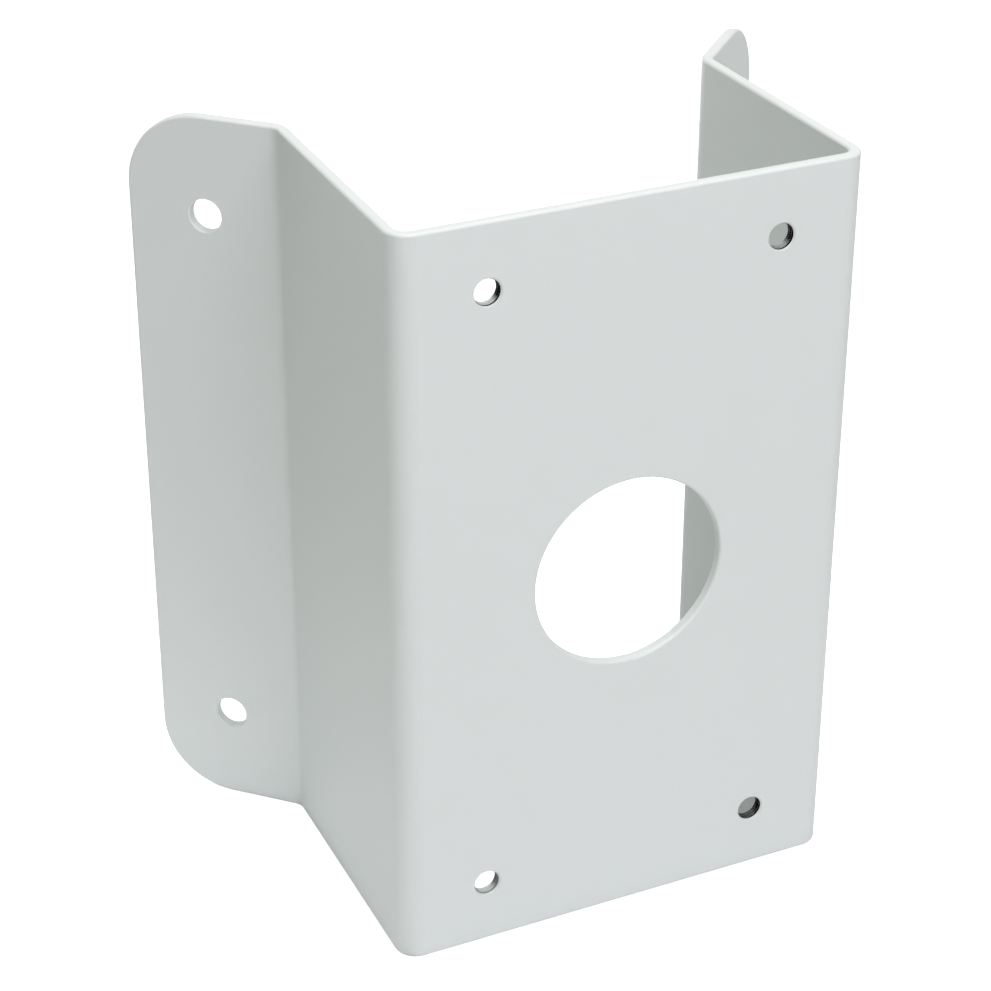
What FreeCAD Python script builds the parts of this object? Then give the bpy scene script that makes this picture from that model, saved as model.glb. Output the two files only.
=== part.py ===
"""Corner mount bracket that carries a camera on the outside corner of a building.

One steel sheet, folded four times and powder coated. Seen from above it runs
flange, web, front plate, web, flange: the plate faces -Y, the webs run back
from it along +Y and lean a little towards each other, and the flanges turn
outwards to lie on the two walls.
+Z is up. The origin is the centre of the bounding box at its lower face.
Lengths are in millimetres, angles in degrees.
"""
import FreeCAD, Part
import math
import os
import Sketcher

from FreeCAD import Vector

SIZES = [
    ("height", "200", "the sheet's full height, the same in all five panels"),
    ("plate_width", "124", "front plate, to the corners where its face would meet the webs' outsides"),
    ("web_depth", "75", "plate's face to the corner where the web meets the flange's face, along Y"),
    ("web_lean", "1", "lean of each web towards the other, from the plate back"),
    ("flange_width", "41", "that corner to the flange's free end, along the flange's face"),
    ("flange_angle", "45", "between a flange and the Y axis, so the two walls stand square"),
    ("sheet", "3", "thickness of the steel"),
    ("plate_bend_radius", "3", "radius inside the two folds beside the plate"),
    ("flange_bend_radius", "4", "radius inside the two folds beside the flanges, which turn half as far"),
    ("flange_corner", "20", "rounding of the flanges' free corners"),
    ("edge_round", "0.8", "rounding of the sheet's outline and the cable hole, under the coating"),
    ("cable_hole", "51", "diameter of the cable hole in the plate's middle"),
    ("screw_drill", "6.8", "tapping drill of the four M8 holes for the camera's base"),
    ("screw_rim_break", "0.4", "chamfer on the front rims of the tapped holes"),
    ("screw_spacing_across", "77", "between the tapped holes, along X"),
    ("screw_spacing_up", "165", "between the tapped holes, along Z"),
    ("anchor_hole", "8.8", "diameter of the coated holes for the wall anchors"),
    ("anchor_rim_break", "0.3", "chamfer on both rims of the anchor holes"),
    ("anchor_spacing", "147.5", "between a flange's two anchor holes, along Z"),
    ("anchor_inset", "20", "anchor holes from the corner of web and flange"),
]

doc = FreeCAD.newDocument("corner_mount_bracket")
sheet = doc.addObject("Spreadsheet::Sheet", "Sizes")
for row, (alias, value, note) in enumerate(SIZES, start=1):
    sheet.set(f"A{row}", alias)
    sheet.set(f"B{row}", value)
    sheet.set(f"C{row}", note)
    sheet.setAlias(f"B{row}", alias)
doc.recompute()

# The sketcher's own numbers: a curve's points, and the axes with the origin.
START, END, CENTRE = range(1, 4)
X_AXIS, Y_AXIS = range(-1, -3, -1)
ORIGIN = X_AXIS


def size(alias):
    """The value of a size, for the first guess of a sketch's geometry."""
    return float(sheet.get(alias))


def plane(body, role):
    """The body's own origin plane of that role."""
    return next(feature for feature in body.Origin.OriginFeatures if feature.Role == role)


def new_sketch(body, name, role):
    """An empty sketch on one of the body's origin planes."""
    sketch = body.newObject("Sketcher::SketchObject", name)
    sketch.AttachmentSupport = [(plane(body, role), "")]
    sketch.MapMode = "FlatFace"
    return sketch


def dimension(sketch, name, constraint, expression):
    """Adds a named dimension and ties it to the sizes."""
    index = sketch.addConstraint(constraint)
    sketch.renameConstraint(index, name)
    sketch.setExpression(f"Constraints.{name}", expression)


def add_hole(sketch, name, across, up, diameter):
    """Adds a circle with the diameter of that size; the two expressions place its centre."""
    width = size(diameter)
    circle = sketch.addGeometry(Part.Circle(Vector(), Vector(0, 0, 1), width / 2), False)
    dimension(sketch, f"{name}_diameter", Sketcher.Constraint("Diameter", circle, width), f"Sizes.{diameter}")
    if across:
        dimension(sketch, f"{name}_across",
                  Sketcher.Constraint("DistanceX", ORIGIN, START, circle, CENTRE, width), across)
    else:
        sketch.addConstraint(Sketcher.Constraint("PointOnObject", circle, CENTRE, Y_AXIS))
    dimension(sketch, f"{name}_up",
              Sketcher.Constraint("DistanceY", ORIGIN, START, circle, CENTRE, width), up)


# The plate's face lies half the depth in front of the origin. The depth ends at
# the rounded back edge of the flanges' free ends.
DEPTH = (
    "(Sizes.web_depth + Sizes.flange_width * cos(Sizes.flange_angle * 1 deg)"
    " + Sizes.sheet * sin(Sizes.flange_angle * 1 deg)"
    " - Sizes.edge_round * (cos(Sizes.flange_angle * 1 deg) + sin(Sizes.flange_angle * 1 deg) - 1))"
)
FACE_Y = f"(-{DEPTH} / 2)"
CORNER_X = "(Sizes.plate_width / 2 - Sizes.web_depth * tan(Sizes.web_lean * 1 deg))"

body = doc.addObject("PartDesign::Body", "corner_bracket")
body.Label = "corner_bracket"

# Right half of the section, seen from above: plate, web and flange, joined by
# the two folds. The front fold turns a quarter and the web's lean, the back one
# the flange's angle and the lean.
half_width = size("plate_width") / 2
thickness = size("sheet")
inner = size("plate_bend_radius")
outer = inner + thickness
flange_inner = size("flange_bend_radius")
flange_outer = flange_inner + thickness
lean = math.radians(size("web_lean"))
turn = math.radians(size("flange_angle"))
web_along = Vector(-math.sin(lean), math.cos(lean), 0)
web_outward = Vector(math.cos(lean), math.sin(lean), 0)
along = Vector(math.sin(turn), math.cos(turn), 0)
backward = Vector(-math.cos(turn), math.sin(turn), 0)
depth = size("web_depth") + size("flange_width") * along.y + thickness * backward.y
depth -= size("edge_round") * (along.y + along.x - 1)
face_y = -depth / 2
corner = Vector(half_width - size("web_depth") * math.tan(lean), face_y + size("web_depth"), 0)
front_centre = Vector(half_width - outer * math.tan(math.pi / 4 + lean / 2), face_y + outer, 0)
back_centre = corner + (web_outward - web_along * math.tan((turn + lean) / 2)) * flange_inner
flange_end = corner + along * size("flange_width")


def arc(centre, radius, start, end):
    """An arc about +Z, from one angle to the other."""
    return Part.ArcOfCircle(Part.Circle(centre, Vector(0, 0, 1), radius), start, end)


def line(start, end):
    return Part.LineSegment(start, end)


section = new_sketch(body, "half_section", "XY_Plane")
geometry = [
    line(Vector(0, face_y, 0), Vector(front_centre.x, face_y, 0)),
    arc(front_centre, outer, -math.pi / 2, lean),
    line(front_centre + web_outward * outer, back_centre - web_outward * flange_inner),
    arc(back_centre, flange_inner, math.pi - turn, math.pi + lean),
    line(back_centre + backward * flange_inner, flange_end),
    line(flange_end, flange_end + backward * thickness),
    line(flange_end + backward * thickness, back_centre + backward * flange_outer),
    arc(back_centre, flange_outer, math.pi - turn, math.pi + lean),
    line(back_centre - web_outward * flange_outer, front_centre + web_outward * inner),
    arc(front_centre, inner, -math.pi / 2, lean),
    line(front_centre - Vector(0, inner, 0), Vector(0, face_y + thickness, 0)),
    line(Vector(0, face_y + thickness, 0), Vector(0, face_y, 0)),
    Part.Point(corner),
]
section.addGeometry(geometry, False)
(PLATE_FACE, FRONT_OUTER, WEB_FACE, BACK_INNER, FLANGE_FACE, FLANGE_END, FLANGE_BACK, BACK_OUTER,
 WEB_BACK, FRONT_INNER, PLATE_BACK, MIDDLE, CORNER) = range(len(geometry))
section.toggleConstruction(CORNER)
section.addConstraint([
    Sketcher.Constraint("Tangent", PLATE_FACE, END, FRONT_OUTER, START),
    Sketcher.Constraint("Tangent", FRONT_OUTER, END, WEB_FACE, START),
    Sketcher.Constraint("Tangent", WEB_FACE, END, BACK_INNER, END),
    Sketcher.Constraint("Tangent", BACK_INNER, START, FLANGE_FACE, START),
    Sketcher.Constraint("Coincident", FLANGE_FACE, END, FLANGE_END, START),
    Sketcher.Constraint("Coincident", FLANGE_END, END, FLANGE_BACK, START),
    Sketcher.Constraint("Tangent", FLANGE_BACK, END, BACK_OUTER, START),
    Sketcher.Constraint("Tangent", BACK_OUTER, END, WEB_BACK, START),
    Sketcher.Constraint("Tangent", WEB_BACK, END, FRONT_INNER, END),
    Sketcher.Constraint("Tangent", FRONT_INNER, START, PLATE_BACK, START),
    Sketcher.Constraint("Coincident", PLATE_BACK, END, MIDDLE, START),
    Sketcher.Constraint("Coincident", MIDDLE, END, PLATE_FACE, START),
    Sketcher.Constraint("Coincident", FRONT_OUTER, CENTRE, FRONT_INNER, CENTRE),
    Sketcher.Constraint("Coincident", BACK_OUTER, CENTRE, BACK_INNER, CENTRE),
    Sketcher.Constraint("Horizontal", PLATE_FACE),
    Sketcher.Constraint("Horizontal", PLATE_BACK),
    Sketcher.Constraint("Parallel", WEB_BACK, WEB_FACE),
    Sketcher.Constraint("Perpendicular", FLANGE_END, FLANGE_FACE),
    Sketcher.Constraint("Parallel", FLANGE_BACK, FLANGE_FACE),
    Sketcher.Constraint("PointOnObject", CORNER, START, WEB_FACE),
    Sketcher.Constraint("PointOnObject", CORNER, START, FLANGE_FACE),
    Sketcher.Constraint("PointOnObject", MIDDLE, START, Y_AXIS),
    Sketcher.Constraint("PointOnObject", MIDDLE, END, Y_AXIS),
])
dimension(section, "face",
          Sketcher.Constraint("DistanceY", ORIGIN, START, PLATE_FACE, START, face_y),
          FACE_Y)
dimension(section, "corner_across",
          Sketcher.Constraint("DistanceX", ORIGIN, START, CORNER, START, corner.x),
          CORNER_X)
dimension(section, "web_depth",
          Sketcher.Constraint("DistanceY", PLATE_FACE, START, CORNER, START, size("web_depth")),
          "Sizes.web_depth")
dimension(section, "web_lean",
          Sketcher.Constraint("Angle", WEB_FACE, math.pi / 2 + lean),
          "(90 + Sizes.web_lean) * 1 deg")
dimension(section, "flange_width",
          Sketcher.Constraint("Distance", CORNER, START, FLANGE_FACE, END, size("flange_width")),
          "Sizes.flange_width")
dimension(section, "flange_angle",
          Sketcher.Constraint("Angle", X_AXIS, START, FLANGE_FACE, START, math.pi / 2 - turn),
          "(90 - Sizes.flange_angle) * 1 deg")
dimension(section, "thickness", Sketcher.Constraint("Distance", MIDDLE, thickness), "Sizes.sheet")
dimension(section, "front_bend", Sketcher.Constraint("Radius", FRONT_INNER, inner), "Sizes.plate_bend_radius")
dimension(section, "back_bend", Sketcher.Constraint("Radius", BACK_INNER, flange_inner),
          "Sizes.flange_bend_radius")

half = body.newObject("PartDesign::Pad", "folded_half")
half.Profile = section
half.setExpression("Length", "Sizes.height")
doc.recompute()

# The flange's two free corners, at the top and bottom of its end, are rounded.
level_edges = [
    (edge.CenterOfMass.x, f"Edge{number}")
    for number, edge in enumerate(half.Shape.Edges, start=1)
    if edge.BoundBox.ZLength < thickness / 10
]
free_corners = [name for x, name in sorted(level_edges, reverse=True)[:2]]
corners = body.newObject("PartDesign::Fillet", "flange_corners")
corners.Base = (half, free_corners)
corners.setExpression("Radius", "Sizes.flange_corner")
doc.recompute()

# The left half mirrors the right one.
body.Tip = corners
whole = body.newObject("PartDesign::Mirrored", "both_halves")
whole.TransformMode = "Whole shape"
whole.MirrorPlane = (plane(body, "YZ_Plane"), [""])
whole.Refine = True
body.Tip = whole
doc.recompute()


def face_sketch(name):
    """A sketch on the plate's face, with its own origin at the foot of the face."""
    sketch = new_sketch(body, name, "XZ_Plane")
    sketch.setExpression("AttachmentOffset.Base.z", f"-{FACE_Y}")
    return sketch


# The cable hole goes straight through the middle of the plate.
cable = face_sketch("cable_sketch")
add_hole(cable, "cable", "", "Sizes.height / 2", "cable_hole")
cable_hole = body.newObject("PartDesign::Pocket", "cable_hole")
cable_hole.Profile = cable
cable_hole.setExpression("Length", "2 * Sizes.sheet")
doc.recompute()

# All sharp edges so far, of the outline and the cable hole, are softly rounded.
rounded = body.newObject("PartDesign::Fillet", "rounded_edges")
rounded.Base = (cable_hole, [""])
rounded.UseAllEdges = True
rounded.setExpression("Radius", "Sizes.edge_round")
doc.recompute()

# Anchor holes, square through the right flange and mirrored to the left one.
# The sketch lies on the flange's face, with its own origin at the foot of the
# corner of web and flange.
anchors = new_sketch(body, "anchor_sketch", "XZ_Plane")
upright = FreeCAD.Rotation(Vector(0, 1, 0), size("flange_angle"))
anchors.AttachmentOffset = FreeCAD.Placement(Vector(), upright)
anchors.setExpression("AttachmentOffset.Base.x", CORNER_X)
anchors.setExpression("AttachmentOffset.Base.z", f"-({FACE_Y} + Sizes.web_depth)")
anchors.setExpression("AttachmentOffset.Rotation.Angle", "(90 - Sizes.flange_angle) * 1 deg")
for name, sign in (("lower", "-"), ("upper", "+")):
    add_hole(anchors, name, "Sizes.anchor_inset",
             f"Sizes.height / 2 {sign} Sizes.anchor_spacing / 2", "anchor_hole")
anchor_holes = body.newObject("PartDesign::Pocket", "anchor_holes")
anchor_holes.Profile = anchors
anchor_holes.SideType = "Symmetric"
anchor_holes.setExpression("Length", "4 * Sizes.sheet")
doc.recompute()
anchor_pairs = body.newObject("PartDesign::Mirrored", "anchor_pairs")
anchor_pairs.Originals = [anchor_holes]
anchor_pairs.MirrorPlane = (plane(body, "YZ_Plane"), [""])
body.Tip = anchor_pairs
doc.recompute()
anchor_rims = [
    f"Edge{number}"
    for number, edge in enumerate(anchor_pairs.Shape.Edges, start=1)
    if isinstance(edge.Curve, Part.Circle) and edge.isClosed()
    and abs(edge.Curve.Radius - size("anchor_hole") / 2) < thickness / 100
]
if len(anchor_rims) != 8:
    raise RuntimeError(f"{len(anchor_rims)} rims of anchor holes, not two for each of four holes")
broken_rims = body.newObject("PartDesign::Chamfer", "anchor_rims")
broken_rims.Base = (anchor_pairs, anchor_rims)
broken_rims.setExpression("Size", "Sizes.anchor_rim_break")
doc.recompute()

# The four tapped holes are kept free of coating, and only their rims are broken.
screws = face_sketch("screw_sketch")
for name, side, level in (("lower_left", "-", "-"), ("lower_right", "+", "-"),
                          ("upper_left", "-", "+"), ("upper_right", "+", "+")):
    add_hole(screws, name, f"{side}Sizes.screw_spacing_across / 2",
             f"Sizes.height / 2 {level} Sizes.screw_spacing_up / 2", "screw_drill")
doc.recompute()
screw_holes = body.newObject("PartDesign::Hole", "screw_holes")
screw_holes.Profile = screws
screw_holes.DepthType = "Dimension"
screw_holes.DrillPoint = "Flat"
screw_holes.HoleCutType = "Countersink"
screw_holes.HoleCutCustomValues = True
screw_holes.HoleCutCountersinkAngle = 90
screw_holes.setExpression("Depth", "2 * Sizes.sheet")
screw_holes.setExpression("Diameter", "Sizes.screw_drill")
screw_holes.setExpression("HoleCutDiameter", "Sizes.screw_drill + 2 * Sizes.screw_rim_break")
body.Tip = screw_holes
doc.recompute()

for feature in doc.Objects:
    if "Invalid" in feature.State or "Error" in feature.State:
        raise RuntimeError(f"{feature.Name} did not build: {feature.State}")
for sketch in (section, anchors, cable, screws):
    if sketch.solve() != 0 or not sketch.FullyConstrained:
        raise RuntimeError(f"{sketch.Name} is not fully constrained")
shape = body.Shape
if shape.isNull() or not shape.isValid() or len(shape.Solids) != 1:
    raise RuntimeError("the bracket is not one valid solid")

os.makedirs("parts", exist_ok=True)
shape.exportStep(f"parts/{body.Label}.step")
print(f"{body.Label}: {shape.Volume:.0f} mm3, box {shape.BoundBox}")
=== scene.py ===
from math import pi, radians

import bpy
import numpy as np
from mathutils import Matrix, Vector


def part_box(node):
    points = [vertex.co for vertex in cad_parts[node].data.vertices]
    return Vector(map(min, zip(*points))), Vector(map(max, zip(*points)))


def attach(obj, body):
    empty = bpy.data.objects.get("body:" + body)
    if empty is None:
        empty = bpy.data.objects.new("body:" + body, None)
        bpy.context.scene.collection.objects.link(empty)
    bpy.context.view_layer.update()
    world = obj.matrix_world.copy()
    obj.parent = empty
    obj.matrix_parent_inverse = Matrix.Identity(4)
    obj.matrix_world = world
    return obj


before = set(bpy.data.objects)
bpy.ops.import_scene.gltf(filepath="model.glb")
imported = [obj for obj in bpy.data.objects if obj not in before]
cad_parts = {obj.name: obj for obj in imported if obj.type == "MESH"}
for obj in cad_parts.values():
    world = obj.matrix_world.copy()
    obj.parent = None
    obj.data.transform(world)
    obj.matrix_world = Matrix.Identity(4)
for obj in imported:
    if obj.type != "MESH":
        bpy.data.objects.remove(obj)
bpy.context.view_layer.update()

MM = 0.001

# The bracket: one 3 mm steel sheet, sheared, punched, folded four times and
# then powder coated in a satin off-white. The CAD solid is its true shape, so
# it stays, and gets the coat's finish.
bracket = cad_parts["corner_bracket"]


def colour(red, green, blue):
    """A colour given as 8-bit sRGB, as linear RGBA: each channel's fraction raised by the sRGB curve."""
    channels = np.array([red, green, blue]) / 255
    linear = np.where(channels <= 0.04045, channels / 12.92, ((channels + 0.055) / 1.055) ** 2.4)
    return (*linear.tolist(), 1.0)


def feed(tree, node, **inputs):
    """The node with its inputs fed, named with underscores for spaces. Each value is a number, a
    colour or another node's output, which is linked."""
    for name, value in inputs.items():
        socket = node.inputs[name.replace("_", " ")]
        if isinstance(value, bpy.types.NodeSocket):
            tree.links.new(value, socket)
        else:
            socket.default_value = value
    return node


def add(tree, kind, **inputs):
    """A new node of that kind, with its inputs fed."""
    return feed(tree, tree.nodes.new(kind), **inputs)


def blend(tree, share, first, second):
    """The colour that lies that share of the way from the first colour to the second."""
    mix = tree.nodes.new("ShaderNodeMix")
    mix.data_type = "RGBA"
    return feed(tree, mix, Factor=share, A=first, B=second).outputs["Result"]


def new_material(name):
    """A new material, its node tree and its principled shader."""
    material = bpy.data.materials.new(name)
    material.use_nodes = True
    return material, material.node_tree, material.node_tree.nodes["Principled BSDF"]


def mottled_group():
    """A node group for a finely mottled surface. A noise over the object's coordinates leads from the
    dark colour to the light one, and its middle part from the smooth roughness to the rough one."""
    group = bpy.data.node_groups.new("mottled", "ShaderNodeTree")
    for name, kind in (("Scale", "Float"), ("Detail", "Float"), ("Dark", "Color"), ("Light", "Color"),
                       ("Smooth", "Float"), ("Rough", "Float")):
        group.interface.new_socket(name, in_out="INPUT", socket_type=f"NodeSocket{kind}")
    for name, kind in (("Colour", "Color"), ("Roughness", "Float")):
        group.interface.new_socket(name, in_out="OUTPUT", socket_type=f"NodeSocket{kind}")
    given = group.nodes.new("NodeGroupInput").outputs
    place = group.nodes.new("ShaderNodeTexCoord").outputs["Object"]
    noise = add(group, "ShaderNodeTexNoise", Vector=place, Scale=given["Scale"], Detail=given["Detail"],
                Roughness=0.6).outputs["Fac"]
    roughness = add(group, "ShaderNodeMapRange", Value=noise, From_Min=0.3, From_Max=0.7,
                    To_Min=given["Smooth"], To_Max=given["Rough"]).outputs["Result"]
    mottle = blend(group, noise, given["Dark"], given["Light"])
    add(group, "NodeGroupOutput", Colour=mottle, Roughness=roughness)
    return group


MOTTLED = mottled_group()


def mottled(tree, **inputs):
    """The outputs of the mottled group, placed in a material with its own values."""
    placed = tree.nodes.new("ShaderNodeGroup")
    placed.node_tree = MOTTLED
    return feed(tree, placed, **inputs).outputs


COAT = colour(219, 223, 221)
COAT_THIN = colour(214, 218, 216)
COAT_ROUGHNESS = (0.42, 0.52)
GRAIN_SCALE = 5200
PEEL_SCALE, PEEL_HEIGHT = 1050, 0.012 * MM
WAVE_SCALE, WAVE_HEIGHT = 210, 0.025 * MM


def powder_coat():
    """Satin powder coat. Three noises over the object's coordinates: an orange peel about a
    millimetre wide and a slower waviness lift the surface by hundredths of a millimetre, and a
    fine grain, much smaller than that, varies colour and gloss a little."""
    material, tree, coat = new_material("powder_coat_satin")
    place = tree.nodes.new("ShaderNodeTexCoord").outputs["Object"]
    wave = add(tree, "ShaderNodeTexNoise", Vector=place, Scale=WAVE_SCALE, Detail=1.0, Roughness=0.4)
    peel = add(tree, "ShaderNodeTexNoise", Vector=place, Scale=PEEL_SCALE, Detail=1.5, Roughness=0.45)
    waved = add(tree, "ShaderNodeBump", Distance=WAVE_HEIGHT, Height=wave.outputs["Fac"])
    peeled = add(tree, "ShaderNodeBump", Distance=PEEL_HEIGHT, Height=peel.outputs["Fac"],
                 Normal=waved.outputs["Normal"])
    grain = mottled(tree, Scale=GRAIN_SCALE, Detail=2.0, Dark=COAT_THIN, Light=COAT,
                    Smooth=COAT_ROUGHNESS[0], Rough=COAT_ROUGHNESS[1])
    feed(tree, coat, Base_Color=grain["Colour"], Roughness=grain["Roughness"],
         Normal=peeled.outputs["Normal"], IOR=1.5)
    return material


bracket.material_slots[0].material = powder_coat()

# The threads: the four holes near the plate's corners are tapped M8 for the
# camera's base. They were masked while the part was coated, so their walls are
# oiled steel. Their nearly black colour is partly the steel's own and partly
# painted shade for the dark inside of the holes, and the lower walls get the
# coat's colour as painted light, a painted highlight where light falls on them.
PLATE_FACE_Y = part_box("corner_bracket")[0].y
SHEET = 3 * MM
HOLE_CENTRES = [(x * MM, z * MM) for x in (-38.5, 38.5) for z in (17.5, 182.5)]
THREAD_WALL = 3.392 * MM
SLEEVE_WALL = 0.006 * MM
THREAD_RIDGE = 0.17 * MM
THREAD_PITCH = 1.25 * MM
THREAD_START, THREAD_END = 0.42 * MM, SHEET - 0.01 * MM
FRONT_FADE, BACK_FADE = 0.3 * MM, 0.25 * MM
POINTS_ROUND, POINTS_ALONG = 96, 60
# The painted light on the lower walls begins this far in from the front face and fades in over this length.
LIT_WALL_START, LIT_WALL_FADE = 0.75 * MM, 0.5 * MM
# The steel's nearly black colours: partly its own and partly painted shade for the dark inside of the
# holes.
OILED_STEEL_AND_SHADE = colour(13, 13, 12)
OILED_STEEL_AND_SHADE_DARK = colour(4, 4, 4)
OILED_STEEL_ROUGHNESS = (0.44, 0.56)
MARKS_SCALE = 2600


def tapped_thread(centre):
    """A closed sleeve that lines one tapped hole. Round the hole and along it the inner radius is the
    wall's radius less the ridge: a flat-topped wave of the distance along the hole, less one pitch
    for each turn, which fades out at both ends. The outer radius is the wall's and a little more. Also
    gives each point's share of painted light, a painted highlight: all on the lower wall, none higher or
    near the front rim."""
    angle = np.linspace(0, 2 * pi, POINTS_ROUND, endpoint=False)[:, None]
    along = np.linspace(THREAD_START, THREAD_END, POINTS_ALONG)[None, :]
    phase = (along / THREAD_PITCH - angle / (2 * pi)) % 1
    flat_topped = np.clip(2.2 - 5.5 * np.abs(phase - 0.5), 0, 1)
    ends = np.clip((along - THREAD_START) / FRONT_FADE, 0, 1) * np.clip((SHEET - along) / BACK_FADE, 0, 1)
    inner = THREAD_WALL - THREAD_RIDGE * flat_topped * ends
    radius = np.concatenate([inner, np.full((POINTS_ROUND, 2), THREAD_WALL + SLEEVE_WALL)], axis=1)
    along = np.concatenate([along[0], [along[0, -1], along[0, 0]]])
    points = np.stack([
        centre[0] + radius * np.cos(angle),
        PLATE_FACE_Y + np.broadcast_to(along, radius.shape),
        centre[1] + radius * np.sin(angle),
    ], axis=-1)
    lower = np.clip((-np.sin(angle) - 0.5) / 0.35, 0, 1)
    inside = np.clip((along - LIT_WALL_START) / LIT_WALL_FADE, 0, 1)
    return points, lower * inside


def closed_grid(points):
    """Faces of a grid that closes on itself both ways: each point with its next ones along both."""
    rows, columns = points.shape[:2]
    index = np.arange(rows * columns).reshape(rows, columns)
    down, right = np.roll(index, -1, axis=0), np.roll(index, -1, axis=1)
    both = np.roll(down, -1, axis=1)
    return np.stack([index, down, both, right], axis=-1).reshape(-1, 4)


sleeves, painted_light_shares = zip(*(tapped_thread(centre) for centre in HOLE_CENTRES))
per_sleeve = sleeves[0].shape[0] * sleeves[0].shape[1]
thread_points = np.concatenate([sleeve.reshape(-1, 3) for sleeve in sleeves])
thread_faces = np.concatenate([closed_grid(sleeve) + n * per_sleeve for n, sleeve in enumerate(sleeves)])
thread_mesh = bpy.data.meshes.new("tapped_threads")
thread_mesh.from_pydata(thread_points.tolist(), [], thread_faces.tolist())
thread_mesh.polygons.foreach_set("use_smooth", np.ones(len(thread_faces), bool))

# How much painted light each hole's walls get, a painted highlight where light falls on the
# lower walls, from its upper walls to its lower ones. The holes come in the order of their centres:
# left lower and upper, then right.
PAINTED_LIGHT_PER_HOLE = ((0.35, 1.0), (0.0, 1.0), (0.0, 0.1), (0.0, 0.5))
painted_wall_light = thread_mesh.attributes.new("painted_wall_light", "FLOAT", "POINT")
painted_wall_light.data.foreach_set("value", np.concatenate([
    least + (most - least) * share.ravel() for share, (least, most) in zip(painted_light_shares, PAINTED_LIGHT_PER_HOLE)]))
threads = bpy.data.objects.new("tapped_threads", thread_mesh)
bpy.context.scene.collection.objects.link(threads)


def oiled_steel_painted_shade_and_light():
    """Freshly tapped and oiled steel: nearly black metal with cutting marks, a fine noise along the
    wall. The near black is partly the steel's own and partly painted shade. Where the mesh's attribute
    for painted light says so, the coat's colour covers it: a painted highlight."""
    material, tree, steel = new_material("oiled_steel_painted_shade_and_light")
    marks = mottled(tree, Scale=MARKS_SCALE, Detail=3.0, Dark=OILED_STEEL_AND_SHADE_DARK, Light=OILED_STEEL_AND_SHADE,
                    Smooth=OILED_STEEL_ROUGHNESS[0], Rough=OILED_STEEL_ROUGHNESS[1])
    painted_light = tree.nodes.new("ShaderNodeAttribute")
    painted_light.attribute_name = "painted_wall_light"
    painted_light = painted_light.outputs["Fac"]
    bare = add(tree, "ShaderNodeMapRange", Value=painted_light, To_Min=0.9, To_Max=0.0)
    feed(tree, steel, Base_Color=blend(tree, painted_light, marks["Colour"], COAT), Metallic=bare.outputs["Result"],
         Roughness=marks["Roughness"], Specular_IOR_Level=0.15)
    return material


thread_mesh.materials.append(oiled_steel_painted_shade_and_light())
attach(threads, "root")

# The studio's table: a wide white sheet, lit from below round the bracket. It
# lies a hair under the bracket's foot and looks pure white to the camera.
FLOOR_SIZE = 12.0
floor_mesh = bpy.data.meshes.new("floor")
floor_mesh.from_pydata(
    [(x * FLOOR_SIZE / 2, y * FLOOR_SIZE / 2, 0) for x, y in ((-1, -1), (1, -1), (1, 1), (-1, 1))],
    [], [(0, 1, 2, 3)])
floor = bpy.data.objects.new("floor", floor_mesh)
floor.location.z = -0.2 * MM
bpy.context.scene.collection.objects.link(floor)


def math_node(tree, operation, *values):
    """The output of a math node; each value is a number or another node's output."""
    node = tree.nodes.new("ShaderNodeMath")
    node.operation = operation
    for socket, value in zip(node.inputs, values):
        if isinstance(value, (int, float)):
            socket.default_value = value
        else:
            tree.links.new(value, socket)
    return node.outputs["Value"]


def smooth_step(tree, value, start, end):
    """A smooth step of a value, 0 at start and 1 at end."""
    node = tree.nodes.new("ShaderNodeMapRange")
    node.interpolation_type = "SMOOTHSTEP"
    return feed(tree, node, Value=value, From_Min=start, From_Max=end).outputs["Result"]


def all_steps(tree, *borders):
    """The product of smooth steps, each given as a value with its start and end in millimetres."""
    product = 1.0
    for value, start, end in borders:
        product = math_node(tree, "MULTIPLY", product, smooth_step(tree, value, start * MM, end * MM))
    return product


def distance_from(tree, place, point):
    """The distance of the shaded place from a point."""
    node = tree.nodes.new("ShaderNodeVectorMath")
    node.operation = "DISTANCE"
    tree.links.new(place, node.inputs[0])
    node.inputs[1].default_value = point
    return node.outputs["Value"]


PAPER = (0.86, 0.86, 0.86, 1)
# The sheet's darker colour where painted shade lies on it.
PAPER_PAINTED_SHADE = (0.52, 0.52, 0.52, 1)
GLOW_TINT = (0.90, 0.93, 1.0, 1)
TABLE_GLOW, TABLE_FADE = 0.21, (0.29, 0.15)
SPOT_GLOW, SPOT_FADE = 0.22, (0.15, 0.03)
SPOT_MIDDLE = (-0.135, 0.03, 0)
CAMERA_LIFT, LIFT_GROWTH = 0.6, (0.5, 1.5)
# A flange's foot lies where the distance across is the distance back and this.
FLANGE_FOOT = 36.5 * MM


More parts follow.
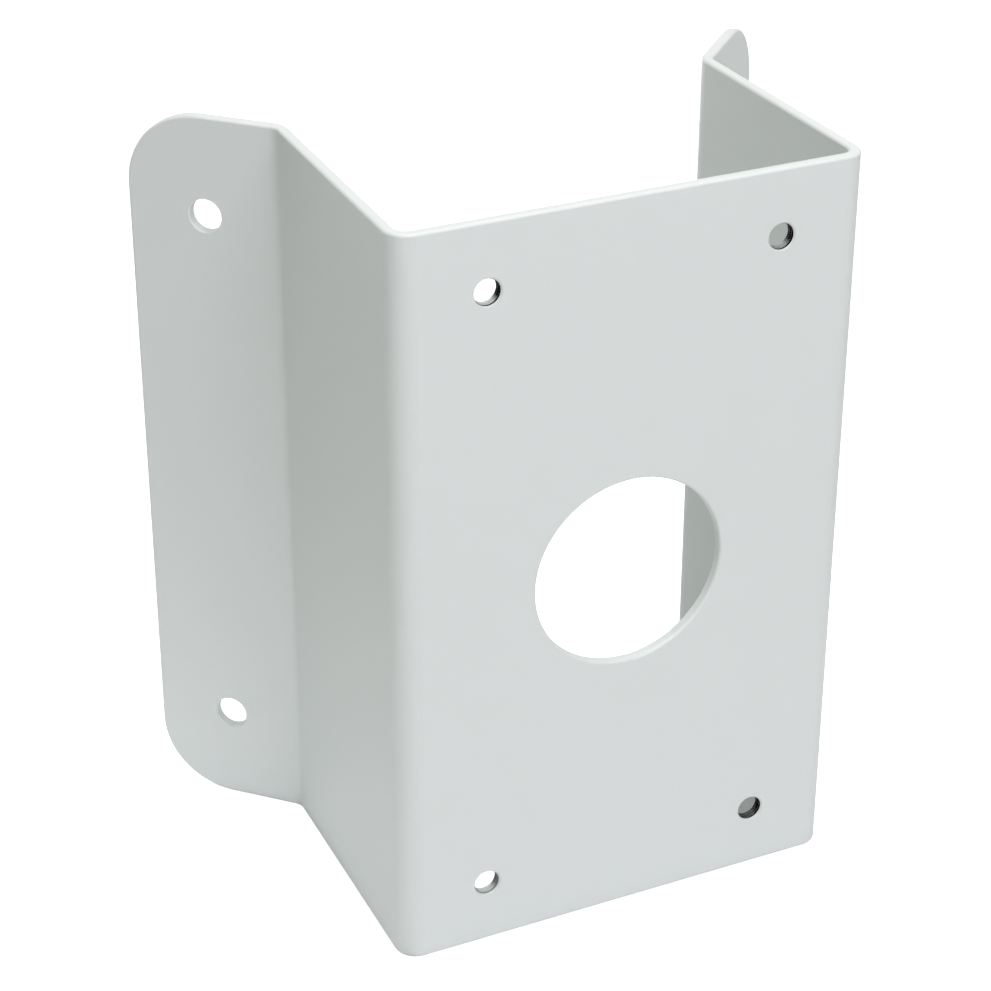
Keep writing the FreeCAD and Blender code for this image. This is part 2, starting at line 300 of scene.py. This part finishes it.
def white_table():
    """A white sheet on a light table, whose light is a little blue. It glows evenly under the bracket and
    more in a spot beside the left web, each a smooth step of the distance from its middle. To the
    camera alone a lift, which grows with the distance from the bracket, makes the sheet read white. To
    all but the camera the sheet has a painted shade between the webs and a millimetre or two round the
    bracket's foot: a darker colour and no glow, so it lights neither. The camera sees a painted shadow
    only inside the channel, along the webs' feet: the same darker colour and no glow."""
    material, tree, sheet = new_material("white_table")
    place = tree.nodes.new("ShaderNodeTexCoord").outputs["Object"]
    across, back = add(tree, "ShaderNodeSeparateXYZ", Vector=place).outputs[:2]
    across = math_node(tree, "ABSOLUTE", across)
    to_camera = tree.nodes.new("ShaderNodeLightPath").outputs["Is Camera Ray"]

    # Painted shade on the sheet: the seen part for camera rays, the unseen part between the webs and round
    # the foot for all other rays.
    seen = all_steps(tree, (across, 34, 46), (across, 60, 59), (back, -51, -50), (back, 30, 0))
    from_webs = all_steps(tree, (across, 63, 61), (back, -53.4, -52.6), (back, 26, 24))
    aside = math_node(tree, "SUBTRACT", across, math_node(tree, "ADD", back, FLANGE_FOOT))
    aside = math_node(tree, "ABSOLUTE", aside)
    from_flanges = all_steps(tree, (aside, 4.2, 2.2), (back, 20, 22), (back, 54, 52))
    unseen = math_node(tree, "MAXIMUM", from_webs, from_flanges)
    shade = math_node(tree, "MULTIPLY_ADD", to_camera, math_node(tree, "SUBTRACT", seen, unseen), unseen)

    distance = distance_from(tree, place, (0, 0, 0))
    near_spot = smooth_step(tree, distance_from(tree, place, SPOT_MIDDLE), *SPOT_FADE)
    glow = math_node(tree, "MULTIPLY", smooth_step(tree, distance, *TABLE_FADE), TABLE_GLOW)
    glow = math_node(tree, "MULTIPLY_ADD", near_spot, SPOT_GLOW, glow)
    growth = smooth_step(tree, distance, *LIFT_GROWTH)
    lift = math_node(tree, "MULTIPLY_ADD", growth, 1 - CAMERA_LIFT, CAMERA_LIFT)
    light = math_node(tree, "MULTIPLY_ADD", to_camera, lift, glow)
    light = math_node(tree, "MULTIPLY", light, math_node(tree, "SUBTRACT", 1.0, shade))
    feed(tree, sheet, Base_Color=blend(tree, shade, PAPER, PAPER_PAINTED_SHADE), Roughness=0.9,
         Emission_Color=GLOW_TINT, Emission_Strength=light)
    return material


floor_mesh.materials.append(white_table())

# The surround: pure white to the camera and in reflections, but as a lamp only
# a weak greenish light from all sides.
SURROUND = (0.106, 0.124, 0.089, 1)
world = bpy.data.worlds.new("surround")
bpy.context.scene.world = world
world.use_nodes = True
sky = world.node_tree
sky.nodes.clear()
ray = sky.nodes.new("ShaderNodeLightPath").outputs
seen = math_node(sky, "MAXIMUM", ray["Is Camera Ray"], ray["Is Glossy Ray"])
seen = math_node(sky, "MAXIMUM", seen, ray["Is Transmission Ray"])
surround = add(sky, "ShaderNodeBackground", Color=blend(sky, seen, SURROUND, (1, 1, 1, 1)))
add(sky, "ShaderNodeOutputWorld", Surface=surround.outputs["Background"])


# The lamps: soft boxes in front, above and low behind, and cards on the table
# behind, in front and at the right that throw light upwards.
def soft_box(name, place, aim, size, watts, tint=(1, 1, 1)):
    """A rectangular lamp at place that faces aim, unseen by the camera itself."""
    lamp = bpy.data.lights.new(name, "AREA")
    lamp.shape = "RECTANGLE"
    lamp.size, lamp.size_y = size
    lamp.energy = watts
    lamp.color = tint
    box = bpy.data.objects.new(name, lamp)
    box.location = place
    box.rotation_euler = Vector([a - p for a, p in zip(aim, place)]).to_track_quat("-Z", "X").to_euler()
    box.visible_camera = False
    bpy.context.scene.collection.objects.link(box)


MIDDLE = (0, 0, 0.1)
soft_box("front", (0, -1.071, 1.289), MIDDLE, (0.9, 0.9), 14.45, (0.952, 0.920, 1.0))
soft_box("top", (0, 0, 1.7), MIDDLE, (0.9, 0.9), 17.0)
soft_box("back", (-0.2, 1.06, 0.2), MIDDLE, (0.3, 0.3), 1.2)
soft_box("card_back", (0, 0.8, 0.03), (0, 0.8, 1), (0.5, 1.2), 9.8)
soft_box("card_front", (-0.1, -0.95, 0.03), (-0.1, -0.95, 1), (0.5, 1.2), 3.5)
soft_box("card_right", (0.8, 0, 0.03), (0.8, 0, 1), (1.0, 0.5), 0.4)

# The camera stands to the left of the bracket and looks down on it, as in the
# photograph. Its place, turn and lens come from a fit to the bracket's edges.
camera_data = bpy.data.cameras.new("camera")
camera_data.sensor_width = 36
camera_data.lens = 96.532
camera_data.shift_x = -0.02252
camera_data.shift_y = -0.04898
camera_data.clip_start = 0.01
camera = bpy.data.objects.new("camera", camera_data)
camera.location = (-0.269994, -0.55034, 0.431017)
camera.rotation_euler = (radians(62.3183), radians(-0.3338), radians(-25.5102))
bpy.context.scene.collection.objects.link(camera)
bpy.context.scene.camera = camera
bpy.context.scene.view_settings.view_transform = "Standard"
